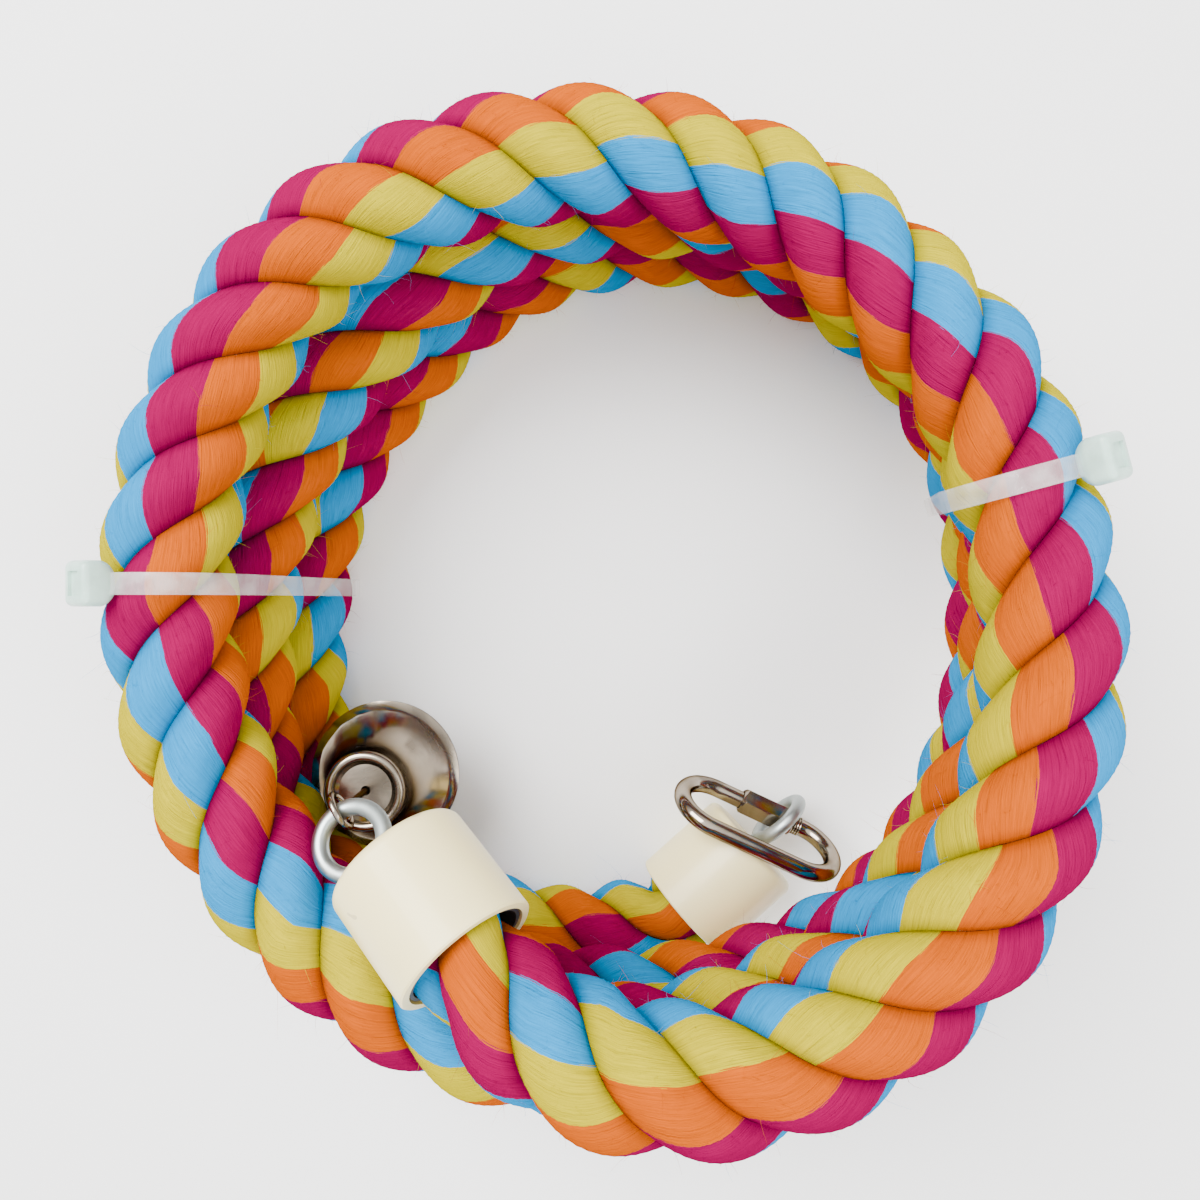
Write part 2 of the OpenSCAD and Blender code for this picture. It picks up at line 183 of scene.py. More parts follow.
# where each strand's four dye colours lie on its upper side, by knot of the route
bandTables = [
    [(2, -2.67), (8, -2.95), (13, -3.0), (18, -2.32), (27, -2.28), (33, -2.02), (40, -2.02),
     (47, -1.63), (49, -1.49), (56, -0.97), (58, -0.77), (61, -0.85), (63, -0.57), (65, -0.33),
     (68, -0.07), (70, 0.11), (72, 0.33), (77, 0.34)],
    [(0, -2.87), (10, -2.43), (12, -2.03), (17, -2.13), (28, -1.46), (32, -1.26), (35, -0.89),
     (37, -0.71), (46, -0.14), (48, 0.06), (51, 0.22), (53, 0.04), (55, 0.68), (58, 0.97),
     (60, 1.18), (62, 1.46), (64, 1.69), (67, 1.96), (69, 2.06), (71, 2.09), (77, 2.73)],
    [(0, -2.11), (9, -1.79), (11, -1.34), (13, -1.28), (27, -0.1), (34, 0.29), (36, 0.58),
     (41, 0.6), (48, 0.97), (50, 1.14), (54, 1.48), (57, 1.85), (59, 2.05), (61, 2.26),
     (64, 2.57), (66, 2.87), (68, 3.12), (76, 3.41), (78, 3.16)],
]


def swellShare(s):
    e = np.minimum(s, ropeLength - s)
    share = ropeValues["boundShare"]
    return share + (1 - share) * ease((e - inCap) / ropeValues["swellOver"])


def bandAt(s, k):
    knot = np.interp(s, routeS[::routeValues["spanSteps"]], np.arange(len(knots)))
    return tableValue(knot, bandTables[k])


def layAngle(s, k):
    return 2 * math.pi * (k / 3 + s / ropeValues["lay"])


def wave(s, length, phase):
    return np.sin(2 * math.pi * s / length + phase)


def strandRing():
    # a strand's outline, how far round its dyes each point lies, and how far each point lies
    # towards the groove between strands, the mask of the painted shade there
    rv = ropeValues
    half = math.radians(rv["halfLobe"])
    lobe = np.linspace(-half, half, rv["lobeSides"] + 1)
    back = np.linspace(half, 2 * math.pi - half, rv["innerSides"] + 1)[1:-1]
    inward = np.abs(back - math.pi) / (math.pi - half)
    x = rv["strandOff"] + rv["strandRadius"] * np.cos(lobe)
    y = rv["strandRadius"] * np.sin(lobe)
    x = np.concatenate([x, x[0] * inward + rv["coreGap"]])
    y = np.concatenate([y, np.sign(math.pi - back) * abs(y[0]) * inward])
    lobeShare = rv["faceShare"] * half / math.pi
    backAt = lobeShare / 2 + (back - half) / (2 * math.pi - 2 * half) * (1 - lobeShare)
    dyeAt = np.concatenate([lobe / half * lobeShare / 2, backAt])
    valley = np.clip(np.abs(np.concatenate([lobe, back])) / half, 0, 1)
    return x, y, dyeAt, valley


def strandPoints(k, s, x, y):
    rv = ropeValues
    middle = along(s)
    side, up = ringFrame(s)[1:]
    phi = layAngle(s, k)
    breath = sum(0.25 * wave(s, length, phase * k) for length, phase in rv["breaths"])
    fat = swellShare(s) * (1 - rv["breathe"] * (0.5 + breath))
    cosP, sinP = np.cos(phi)[:, None], np.sin(phi)[:, None]
    a = (x * cosP - y * sinP) * fat[:, None]
    b = (x * sinP + y * cosP) * fat[:, None]
    points = middle[:, None] + a[..., None] * side[:, None] + b[..., None] * up[:, None]
    points = points.reshape(-1, 3)
    away = points[:, :2] - np.array(turnPoint(rv["pressAt"]))[:2]
    near = np.linalg.norm(away, axis=1) < rv["pressReach"] + rv["radius"]
    near &= np.abs(away[:, 1]) < rv["pressReach"]
    points[:, 2] = np.maximum(points[:, 2], np.where(near, rv["pressed"], 0.0))
    return points


def newPiece(name, points, faces, uvs, paintedShadeMasks):
    mesh = bpy.data.meshes.new(name)
    mesh.from_pydata(points.tolist(), [], faces)
    uvs = np.asarray(uvs, dtype=np.float32).ravel()
    mesh.uv_layers.new(name="strandMap").data.foreach_set("uv", uvs)
    # per point, how strongly the painted shade between strands darkens the cotton
    mesh.attributes.new("valley", "FLOAT", "POINT").data.foreach_set("value", paintedShadeMasks)
    mesh.polygons.foreach_set("use_smooth", [True] * len(mesh.polygons))
    mesh.update()
    made = bpy.data.objects.new(name, mesh)
    bpy.context.collection.objects.link(made)
    return made


def makeRope():
    count = int(ropeLength / ropeValues["ringGap"]) + 1
    s = np.linspace(0, ropeLength, count)
    x, y, dyeAt, valley = strandRing()
    m = len(x)
    points, faces, uvs = [], [], []
    for k in range(3):
        points.append(strandPoints(k, s, x, y))
        v = dyeAt[None] + (layAngle(s, k) / math.pi + bandAt(s, k))[:, None] - 0.5
        base = k * count * m
        for i in range(count - 1):
            low, high = base + i * m, base + (i + 1) * m
            for j in range(m):
                j2 = (j + 1) % m
                turn = 1 if j2 == 0 else 0  # the colours go on over the closing seam
                faces.append((low + j, low + j2, high + j2, high + j))
                uvs += [s[i], v[i, j], s[i], v[i, j2] + turn]
                uvs += [s[i + 1], v[i + 1, j2] + turn, s[i + 1], v[i + 1, j]]
        faces.append(tuple(base + j for j in reversed(range(m))))
        faces.append(tuple(base + (count - 1) * m + j for j in range(m)))
        uvs += [0.0] * (4 * m)  # both end faces
    return newPiece("threeStrands", np.vstack(points), faces, uvs, np.tile(valley, 3 * count))


# loose cotton fibres that stand off the strands, each a thin tapering thread
fuzzValues = {
    "count": 9000,
    "pieces": 3,  # along each fibre
    "seed": 11,
    "length": (0.0015, 0.0045),
    "thick": 0.000045,  # at the root
    "tipLoss": 0.7,  # share of that which is gone at the tip
    "fromCaps": 0.006,
    "around": 1.25,  # radians either way of a strand's outermost line
    "sunk": 0.0004,  # root below the surface
    "lift": (0.25, 0.8),  # how steeply a fibre leaves the strand
    "sideways": 0.5,
    "curl": 0.45,
    "droop": 0.25,
    "offFloor": 0.0003,
    "longOnes": 14,  # near the link's cap
    "longLength": (0.008, 0.016),
    "longFrom": 0.018,  # where they start, along the rope
    "longReach": 0.02,
}


def makeFuzz():
    fv, rv = fuzzValues, ropeValues
    draw = np.random.default_rng(fv["seed"])
    total = fv["count"] + fv["longOnes"]
    isLong = np.arange(total) >= fv["count"]
    s = np.where(isLong, draw.uniform(fv["longFrom"], fv["longFrom"] + fv["longReach"], total),
                 draw.uniform(inCap + fv["fromCaps"], ropeLength - inCap - fv["fromCaps"], total))
    chi = draw.uniform(-fv["around"], fv["around"], total)
    strand = draw.integers(0, 3, total)
    phi = layAngle(s, strand)
    size = np.where(isLong, draw.uniform(*fv["longLength"], total),
                    draw.uniform(*fv["length"], total))
    tangent, side, up = ringFrame(s)
    a = (rv["strandOff"] + rv["strandRadius"] * np.cos(chi)) * swellShare(s)
    b = rv["strandRadius"] * np.sin(chi) * swellShare(s)
    root = along(s) + (a * np.cos(phi) - b * np.sin(phi))[:, None] * side \
        + (a * np.sin(phi) + b * np.cos(phi))[:, None] * up
    normal = np.cos(chi + phi)[:, None] * side + np.sin(chi + phi)[:, None] * up
    cross = np.cross(tangent, normal)
    lean = draw.uniform(-1, 1, (total, 2))
    start = normal * draw.uniform(*fv["lift"], total)[:, None] + tangent * lean[:, :1] \
        + cross * lean[:, 1:] * fv["sideways"]
    bend = draw.normal(0, fv["curl"], (total, 3)) - normal * fv["droop"]
    share = np.linspace(0, 1, fv["pieces"] + 1)[None, :, None]
    curve = start[:, None] * share + bend[:, None] * share ** 2
    spine = root[:, None] - normal[:, None] * fv["sunk"] + curve * size[:, None, None]
    spine[..., 2] = np.maximum(spine[..., 2], fv["offFloor"])
    corners = np.radians([0, 120, 240])[None, None, :, None]  # each fibre is a thin prism
    taper = (fv["thick"] * (1 - fv["tipLoss"] * share))[..., None]
    shell = spine[:, :, None] + taper * (np.cos(corners) * cross[:, None, None]
                                         + np.sin(corners) * tangent[:, None, None])
    faces = []
    for f in range(total):
        for j in range(fv["pieces"]):
            low = (f * (fv["pieces"] + 1) + j) * 3
            for c, c2 in ((0, 1), (1, 2), (2, 0)):
                faces.append((low + c, low + c2, low + 3 + c2, low + 3 + c))
    band = np.choose(strand, [bandAt(s, k) for k in range(3)])
    v = rv["faceShare"] * chi / (2 * math.pi) + phi / math.pi + band - 0.5
    uvs = np.repeat(np.stack([s, v], -1), 3 * 4 * fv["pieces"], axis=0)
    points = shell.reshape(-1, 3)
    return newPiece("cottonFuzz", points, faces, uvs, np.zeros(len(points)))


rope, fuzz = makeRope(), makeFuzz()
for piece in (rope, fuzz):
    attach(piece, "rope")
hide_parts("strand_1", "strand_2", "strand_3")
print("rope", round(ropeLength, 4), len(rope.data.polygons))


# shader sums, written as Python expressions
class Wire:
    def __init__(self, nodeTree, socket):
        self.nodeTree, self.socket = nodeTree, socket

    def sum(self, kind, *values):
        return self.nodeTree.node("ShaderNodeMath", {"operation": kind},
                                  dict(enumerate((self,) + values)))

    def __add__(self, other):
        return self.sum("ADD", other)

    def __radd__(self, other):
        return self.sum("ADD", other)

    def __sub__(self, other):
        return self.sum("SUBTRACT", other)

    def __rsub__(self, other):
        return self.sum("MULTIPLY_ADD", -1.0, other)

    def __mul__(self, other):
        return self.sum("MULTIPLY", other)

    def __rmul__(self, other):
        return self.sum("MULTIPLY", other)

    def __gt__(self, other):
        return self.sum("GREATER_THAN", other)

    def __lt__(self, other):
        return self.sum("LESS_THAN", other)


# a tree of shader nodes, in which one call makes a node and fills its sockets
class NodeTree:
    def __init__(self, tree):
        self.tree = tree

    def put(self, socket, value):
        if isinstance(value, Wire):
            self.tree.links.new(value.socket, socket)
        elif hasattr(socket.default_value, "__len__") and len(socket.default_value) == 4:
            socket.default_value = tuple(value)[:3] + (1.0,)
        else:
            socket.default_value = value

    def node(self, kind, settings=None, sockets=None, out=0):
        made = self.tree.nodes.new(kind)
        for key, value in (settings or {}).items():
            setattr(made, key, value)
        for key, value in (sockets or {}).items():
            self.put(made.inputs[key], value)
        return Wire(self, made.outputs[out])


# a material, with the steps that several of them share
class Finish(NodeTree):
    def __init__(self, name, roughness=0.5, metallic=0.0):
        self.material = bpy.data.materials.new(name)
        self.material.use_nodes = True
        super().__init__(self.material.node_tree)
        self.feed("Roughness", roughness)
        self.feed("Metallic", metallic)
        self.place = self.node("ShaderNodeTexCoord", out="Object")

    def feed(self, socket, value):
        self.put(self.tree.nodes["Principled BSDF"].inputs[socket], value)

    def noise(self, scale, detail=3.0, place=None, twist=0.0):
        return self.node("ShaderNodeTexNoise", None,
                         {"Vector": place or self.place, "Scale": scale, "Detail": detail,
                          "Distortion": twist})

    def spread(self, value, low, high, toLow=0.0, toHigh=1.0):
        return self.node("ShaderNodeMapRange", {"interpolation_type": "SMOOTHSTEP"},
                         {0: value, 1: low, 2: high, 3: toLow, 4: toHigh})

    def vector(self, x, y, z):
        return self.node("ShaderNodeCombineXYZ", None, {0: x, 1: y, 2: z})

    def blend(self, share, a, b, kind="MIX"):
        return self.node("ShaderNodeMix", {"data_type": "RGBA", "blend_type": kind},
                         {0: share, 6: a, 7: b}, out=2)

    def shaded(self, colour, value):
        return self.blend(1.0, colour, self.vector(value, value, value), "MULTIPLY")

    def bump(self, height, distance, strength):
        self.feed("Normal", self.node("ShaderNodeBump", None,
                                      {"Height": height, "Distance": distance,
                                       "Strength": strength}))


def tint(r, g, b):
    return tuple(((c / 255 + 0.055) / 1.055) ** 2.4 if c > 10 else c / 255 / 12.92
                 for c in (r, g, b))


def darker(colour, share):
    return tuple(c * share for c in colour)


cottonValues = {
    "pink": (0.22, 0.0002, 0.050),
    "orange": (0.44, 0.076, 0.0003),
    "yellow": (0.42, 0.345, 0.0003),
    "blue": (0.0003, 0.215, 0.49),
    "roughness": 0.9,
    "wobble": 0.03,  # how far the bands wander, in turns of a strand
    "wobbleScale": 30.0,
    "streaks": (130.0, 170.0),  # fibres, along the strand and round it
    "streakSpan": (0.3, 0.72),
    "streakShade": (0.84, 1.1),
    "ragged": 0.045,  # unevenness of the bands' edges
    "furrows": (60.0, 75.0),  # gaps between yarns, along and round
    "furrowSpan": (0.3, 0.42),
    # painted shade in the gaps between yarns
    "paintedFurrowShade": 0.95,
    "paintedValleyShadeFrom": 0.7,
    "paintedValleyShade": 0.64,  # painted shade, darkest where two strands meet
    "relief": 0.0005,
    "reliefShare": 0.8,
    "streakRelief": 0.7,  # share of the relief that the fibres make
}


def cottonFinish():
    cv = cottonValues
    f = Finish("dyedCotton", roughness=cv["roughness"])
    f.feed("Specular IOR Level", 0.0)
    uv = f.node("ShaderNodeUVMap", {"uv_map": "strandMap"})
    s = f.node("ShaderNodeSeparateXYZ", None, {0: uv}, out="X")
    v = f.node("ShaderNodeSeparateXYZ", None, {0: uv}, out="Y")
    turn = v + (f.noise(cv["wobbleScale"], 2.0) - 0.5) * cv["wobble"]
    # yarns run along the dye bands, and each band ends at a yarn
    fibre, yarn = [f.vector(s * cv[name][0], turn * cv[name][1], 0.0)
                   for name in ("streaks", "furrows")]
    streak = f.noise(1.0, 4.0, place=fibre)
    dye = (turn + (streak - 0.5) * cv["ragged"]).sum("FRACT")
    colour = cv["pink"]
    for edge, name in ((0.25, "orange"), (0.5, "yellow"), (0.75, "blue")):
        colour = f.blend(dye > edge, colour, cv[name])
    colour = f.shaded(colour, f.spread(streak, *cv["streakSpan"], *cv["streakShade"]))
    # the gaps between yarns: sunk in the relief, and painted a little darker as shade in them
    cut = f.spread(f.noise(1.0, 2.0, place=yarn), *cv["furrowSpan"])
    # painted shade: the cotton made darker towards the grooves between strands
    valley = f.node("ShaderNodeAttribute", {"attribute_name": "valley"}, out="Fac")
    shade = f.spread(valley, cv["paintedValleyShadeFrom"], 1.0, 1.0, cv["paintedValleyShade"])
    f.feed("Base Color", f.shaded(colour, shade * f.spread(cut, 0.0, 1.0, cv["paintedFurrowShade"], 1.0)))
    height = streak * cv["streakRelief"] + cut * (1 - cv["streakRelief"])
    f.bump(height, cv["relief"], cv["reliefShare"])
    return f.material


cotton = cottonFinish()
rope.data.materials.append(cotton)
fuzz.data.materials.append(cotton)

plasticValues = {
    "colour": (0.93, 0.80, 0.40),
    "cloudScale": 35.0,
    "cloudSpan": (0.3, 0.7),
    "cloudShade": (0.97, 1.02),
    "speckScale": 260.0,
    "specks": 0.83,  # the noise is dark above this
    "speckColour": tint(120, 105, 85),
    "speckShare": 0.35,
    "roughness": (0.31, 0.44),
    "coat": 0.15,
    "grainScale": 900.0,
    "relief": 0.00004,
    "reliefShare": 0.5,
}


def plasticFinish():
    pv = plasticValues
    f = Finish("creamPlastic")
    cloud = f.noise(pv["cloudScale"])
    base = f.shaded(pv["colour"], f.spread(cloud, *pv["cloudSpan"], *pv["cloudShade"]))
    speck = (f.noise(pv["speckScale"], 0.0) > pv["specks"]) * pv["speckShare"]
    f.feed("Base Color", f.blend(speck, base, pv["speckColour"]))
    f.feed("Roughness", f.spread(cloud, *pv["cloudSpan"], *pv["roughness"]))
    f.feed("Coat Weight", pv["coat"])
    f.bump(f.noise(pv["grainScale"], 2.0), pv["relief"], pv["reliefShare"])
    return f.material


metalValues = {
    "dullZinc": {"colour": (0.40, 0.44, 0.43), "roughness": 0.42, "bloom": 0.6, "worn": 0.86,
                 "rim": (1.0, 1.0, 1.0)},
    # the nickels' dark rim tint darkens their reflections near the edges: a painted dark
    # reflection
    "polishedNickel": {"colour": (0.36, 0.31, 0.25), "roughness": 0.15, "bloom": 0.0,
                       "worn": 0.62, "rim": (0.12, 0.09, 0.06)},
    "spunNickel": {"colour": (0.33, 0.28, 0.22), "roughness": 0.18, "bloom": 0.0,
                   "worn": 0.62, "rim": (0.12, 0.09, 0.06)},
    "coreWireSteel": {"colour": (0.35, 0.35, 0.36), "roughness": 0.4, "bloom": 0.0,
                      "worn": 0.86, "rim": (1.0, 1.0, 1.0)},
    "cloudScale": 140.0,
    "cloudSpan": (0.35, 0.7),
    "cloudShade": 0.86,
    "smearScale": 45.0,
    "smearTwist": 1.5,
    "smearSpan": (0.35, 0.7),
    "smearRoughness": (0.8, 1.6),  # shares of the metal's own
    "wornSpan": (0.5, 0.66),
    "bloomSpan": (0.5, 0.75),
    "bloomColour": (0.62, 0.64, 0.62),  # whitish bloom of old plating
    "bloomRoughness": 0.3,
    "grainScale": 600.0,
    "relief": 0.00003,
    "reliefShare": 0.4,
}


def metalFinish(name):
    mv, metal = metalValues, metalValues[name]
    f = Finish(name, metallic=1.0)
    # edge tint of the reflections: a dark one paints the grazing reflections near the rims dark,
    # white leaves them as they are
    f.feed("Specular Tint", metal["rim"])
    cloud = f.noise(mv["cloudScale"], 4.0)
    smear = f.noise(mv["smearScale"], twist=mv["smearTwist"])
    base = f.blend(f.spread(cloud, *mv["cloudSpan"]), metal["colour"],
                   darker(metal["colour"], mv["cloudShade"]))
    base = f.blend(f.spread(smear, *mv["wornSpan"]), base, darker(metal["colour"], metal["worn"]))
    patch = f.spread(cloud, *mv["bloomSpan"]) * metal["bloom"]
    f.feed("Base Color", f.blend(patch, base, mv["bloomColour"]))
    rough = f.spread(smear, *mv["smearSpan"], *[metal["roughness"] * share
                                                for share in mv["smearRoughness"]])
    f.feed("Roughness", rough + patch * mv["bloomRoughness"])
    f.bump(f.noise(mv["grainScale"]), mv["relief"], mv["reliefShare"])
    return f.material


tapeValues = {
    "colours": ((0.012, 0.012, 0.014), (0.035, 0.035, 0.038)),
    "roughness": 0.55,
    "ridgeScale": 420.0,
    "relief": 0.0001,
    "reliefShare": 0.6,
}


def tapeFinish():
    f = Finish("bindingTape", roughness=tapeValues["roughness"])
    ridge = f.noise(tapeValues["ridgeScale"], 2.0)
    f.feed("Base Color", f.blend(ridge, *tapeValues["colours"]))
    f.bump(ridge, tapeValues["relief"], tapeValues["reliefShare"])
    return f.material


nylonValues = {
    "strapNylon": {"colour": (0.92, 0.93, 0.90), "cover": 0.19},
    "headNylon": {"colour": (0.56, 0.80, 0.69), "cover": 0.76},
    "coverSpread": 0.06,
    "roughness": 0.3,
    "cloudScale": 180.0,
    "cloudSpan": (0.3, 0.7),
    "cloudShade": 0.88,
    "coat": 0.3,
    "grainScale": 500.0,
    "relief": 0.00004,
    "reliefShare": 0.5,
}


def nylonFinish(name):
    nv = nylonValues
    colour, cover = nv[name]["colour"], nv[name]["cover"]
    f = Finish(name, roughness=nv["roughness"])
    cloud = f.noise(nv["cloudScale"])
    f.feed("Base Color", f.blend(f.spread(cloud, *nv["cloudSpan"]),
                                 darker(colour, nv["cloudShade"]), colour))
    f.feed("Alpha", f.spread(cloud, *nv["cloudSpan"], cover - nv["coverSpread"],
                             cover + nv["coverSpread"]))
    f.feed("Coat Weight", nv["coat"])
    f.bump(f.noise(nv["grainScale"], 2.0), nv["relief"], nv["reliefShare"])
    return f.material


capPlastic = plasticFinish()
zinc, nickel, spunNickel, coreSteel = [metalFinish(name) for name in (
    "dullZinc", "polishedNickel", "spunNickel", "coreWireSteel")]
tape = tapeFinish()
nylon, headNylon = nylonFinish("strapNylon"), nylonFinish("headNylon")


# the construction's own solids, also those that a new piece stands for
def dress(names, material):
    for name in names:
        mesh = nodes[name].data
        mesh.materials.clear()
        mesh.materials.append(material)


dress(["end_cap_bell", "end_cap_link"], capPlastic)
dress(["eye_bolt_bell", "eye_bolt_link", "washer_bell", "washer_link", "nut_bell", "nut_link"],
      zinc)
dress(["quick_link", "sleeve_nut", "bell_hanger", "bell", "clapper"], nickel)
dress(["core_wire"], coreSteel)
dress(["end_wrap_bell", "end_wrap_link"], tape)
dress(["tie_left", "tie_right"], nylon)
print("finishes", len(bpy.data.materials))


def finishPiece(made, body, material, smooth=30):
    deselectAll()
    made.select_set(True)
    bpy.context.view_layer.objects.active = made
    bpy.ops.object.transform_apply(location=True, rotation=True, scale=True)
    bpy.ops.object.mode_set(mode="EDIT")
    bpy.ops.mesh.select_all(action="SELECT")
    bpy.ops.mesh.normals_make_consistent(inside=False)
    bpy.ops.object.mode_set(mode="OBJECT")
    bpy.ops.object.shade_smooth_by_angle(angle=math.radians(smooth))
    made.data.materials.clear()
    made.data.materials.append(material)
    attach(made, body)


def modify(made, kind, **settings):
    deselectAll()
    made.select_set(True)
    bpy.context.view_layer.objects.active = made
    modifier = made.modifiers.new(kind.lower(), kind)
    for key, value in settings.items():
        setattr(modifier, key, value)
    bpy.ops.object.modifier_apply(modifier=modifier.name)


def bevelEdges(made, width, degrees, segments=2):
    modify(made, "BEVEL", width=width, segments=segments, limit_method="ANGLE",
           angle_limit=math.radians(degrees))


def combine(made, kind, other):
    modify(made, "BOOLEAN", operation=kind, solver="EXACT", object=other)
    bpy.data.objects.remove(other)


def pickFaces(made, test):
    bpy.ops.object.mode_set(mode="EDIT")
    bpy.ops.mesh.select_mode(type="FACE")
    bpy.ops.mesh.select_all(action="DESELECT")
    bpy.ops.object.mode_set(mode="OBJECT")
    for face in made.data.polygons:
        face.select = test(face)
    bpy.ops.object.mode_set(mode="EDIT")


def cylinderAt(name, sides, radius, depth, place, turn):
    deselectAll()
    bpy.ops.mesh.primitive_cylinder_add(vertices=sides, radius=radius, depth=depth,
                                        location=place, rotation=turn)
    bpy.context.object.name = name
    return bpy.context.object


def boxAt(name, size, place, turn):
    deselectAll()
    bpy.ops.mesh.primitive_cube_add(size=1, location=place, rotation=turn)
    made = bpy.context.object
    made.name = name
    made.scale = size
    bpy.ops.object.transform_apply(location=False, rotation=False, scale=True)
    return made


# cable ties: a strap round the three stacked turns and a rounded head with its strap slot
tieValues = {
    # the way it faces, its foot on the floor, and each turn it holds: how far out, how high
    "left": {"az": 180.0, "foot": (-0.089, 0.003),
             "turns": [(0.0, 0.012), (0.0055, 0.0435), (0.0111875, 0.075)]},
    "right": {"az": 15.0, "foot": (0.103658, 0.0291522),
              "turns": [(0.0, 0.0267662), (-0.00764308, 0.0582662), (-0.0175067, 0.0895701)]},
    "strapOuter": 0.0167,
    "strapSides": 96,
    "hullAngle": 1,  # degrees, under which the hull's faces are joined
    "flatAngle": 0.5,
    "sideShare": 0.9,  # the band's flat sides have at least this share of the largest face
    "thick": 0.0012,
    "wide": 0.0048,
    "offFloor": 0.0001,
    "headTurn": 54.0,  # degrees from level
    "headAt": 0.0192,  # its middle, from the top turn's middle
    "headSize": (0.006, 0.0098, 0.0085),
    "headRound": 0.0018,
    "roundSteps": 5,
    "neck": 0.0024,
    "neckShare": 0.5,  # of the head's width, at the strap's side
    "slot": (0.0016, 0.0052, 0.004),
    "edge": 0.00025,
    "edgeAngle": 50,
}


def tieOut(side):
    turn = math.radians(tieValues[side]["az"])
    return Vector((math.cos(turn), math.sin(turn), 0))


def tieSpot(side, radial, z):
    return Vector((*tieValues[side]["foot"], z)) + tieOut(side) * radial


def makeStrap(side):
    tv, tie = tieValues, tieValues[side]
    upright = (math.pi / 2, 0, math.radians(tie["az"]))
    strap = cylinderAt("tie_" + side + "_nylon", tv["strapSides"], tv["strapOuter"], tv["wide"],
                       tieSpot(side, *tie["turns"][0]), upright)
    bpy.ops.object.mode_set(mode="EDIT")
    for radial, z in tie["turns"][1:]:
        bpy.ops.mesh.primitive_cylinder_add(
            vertices=tv["strapSides"], radius=tv["strapOuter"], depth=tv["wide"],
            location=tieSpot(side, radial, z), rotation=upright)
    bpy.ops.mesh.select_all(action="SELECT")
    joined = math.radians(tv["hullAngle"])
    bpy.ops.mesh.convex_hull(face_threshold=joined, shape_threshold=joined)
    bpy.ops.mesh.select_all(action="SELECT")
    if tie["turns"][0][1] < tv["strapOuter"]:
        bpy.ops.mesh.bisect(plane_co=(0, 0, tv["offFloor"]), plane_no=(0, 0, 1),
                            use_fill=True, clear_inner=True)
    bpy.ops.mesh.select_all(action="SELECT")
    bpy.ops.mesh.dissolve_limited(angle_limit=math.radians(tv["flatAngle"]))
    bpy.ops.object.mode_set(mode="OBJECT")
    # the two flat sides are opened into a band
    large = max(face.area for face in strap.data.polygons)
    pickFaces(strap, lambda face: face.area > tv["sideShare"] * large)
    bpy.ops.mesh.inset(thickness=tv["thick"], depth=0)
    bpy.ops.mesh.bridge_edge_loops()
    bpy.ops.mesh.select_mode(type="VERT")
    deselectAll()
    return strap


def makeHead(side):
    tv, tie = tieValues, tieValues[side]
    radial, z = tie["turns"][-1]
    tilt = math.radians(tv["headTurn"])
    turned = (0, -tilt, math.radians(tie["az"]))
    out = tieOut(side)
    up = Vector((out.x * math.cos(tilt), out.y * math.cos(tilt), math.sin(tilt)))
    middle = tieSpot(side, radial + tv["headAt"] * math.cos(tilt),
                     z + tv["headAt"] * math.sin(tilt))
    head = boxAt("tie_" + side + "_head", tv["headSize"], middle, turned)
    # the side towards the strap is drawn out to a neck
    pickFaces(head, lambda face: face.normal.x < -0.9)
    bpy.ops.mesh.extrude_region_move(TRANSFORM_OT_translate={"value": -up * tv["neck"]})
    bpy.ops.transform.resize(value=(tv["neckShare"],) * 3,
                             center_override=middle - up * (tv["headSize"][0] / 2 + tv["neck"]))
    bpy.ops.mesh.select_mode(type="VERT")
    bpy.ops.object.mode_set(mode="OBJECT")
    modify(head, "BEVEL", width=tv["headRound"], segments=tv["roundSteps"])
    slotAt = middle + up * tv["headSize"][0] / 2
    combine(head, "DIFFERENCE", boxAt("slot", tv["slot"], slotAt, turned))
    return head


def makeTie(side):
    strap, head = makeStrap(side), makeHead(side)
    for made, material in ((strap, nylon), (head, headNylon)):
        bevelEdges(made, tieValues["edge"], tieValues["edgeAngle"])
        finishPiece(made, "rope", material)
    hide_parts("tie_" + side)
    return len(strap.data.polygons), len(head.data.polygons)


for side in ("left", "right"):
    print("tie", side, makeTie(side))

# bell: one ring of edges carried along its outline, outside and inside, and closed
bellValues = {
    "axis": (-0.0603371, -0.0474295),
    "mouthZ": 0.031,
    "mouth": 0.0195,
    "crown": 0.010,
    "height": 0.0257,
    "flare": 2.6,
    "lip": 0.0003,
    "rim": 0.0013,
    "rimStep": 20,  # degrees
    "dish": 0.0244,
    "hole": 0.0012,
    "thick": 0.0009,
    "wallFrom": 1.2,  # thicknesses, from the mouth up to the outer wall
    "wallTo": 1.5,  # thicknesses, from the inner wall up to the dish
    "rings": 30,
    "sides": 128,
    "merge": 0.00001,
    "smooth": 35,  # degrees
}


def bellOutline():
    bv = bellValues
    thick, crown, dish, rim = bv["thick"], bv["crown"], bv["dish"], bv["rim"]
    lip = bv["mouth"] + bv["lip"]
    wall = []
    for i in range(bv["rings"] + 1):
        share = i / bv["rings"]
        wall.append((crown + (bv["mouth"] - crown) * (1 - share) ** bv["flare"],
                     bv["height"] * share))
    outline = [(lip, 0.0), (lip, thick)]
    outline += [q for q in wall[1:] if q[1] > thick * bv["wallFrom"]]
    for degrees in range(bv["rimStep"], 181, bv["rimStep"]):
        a = math.radians(degrees)
        outline.append((crown - rim + rim * math.cos(a), bv["height"] + rim * math.sin(a)))
    inner = crown - 2 * rim
    outline += [(inner, dish + thick), (inner - thick, dish), (bv["hole"], dish),
                (bv["hole"], dish - thick), (crown - thick, dish - thick)]
    outline += [(r - thick, z) for r, z in wall[::-1] if z < dish - bv["wallTo"] * thick]
    return outline


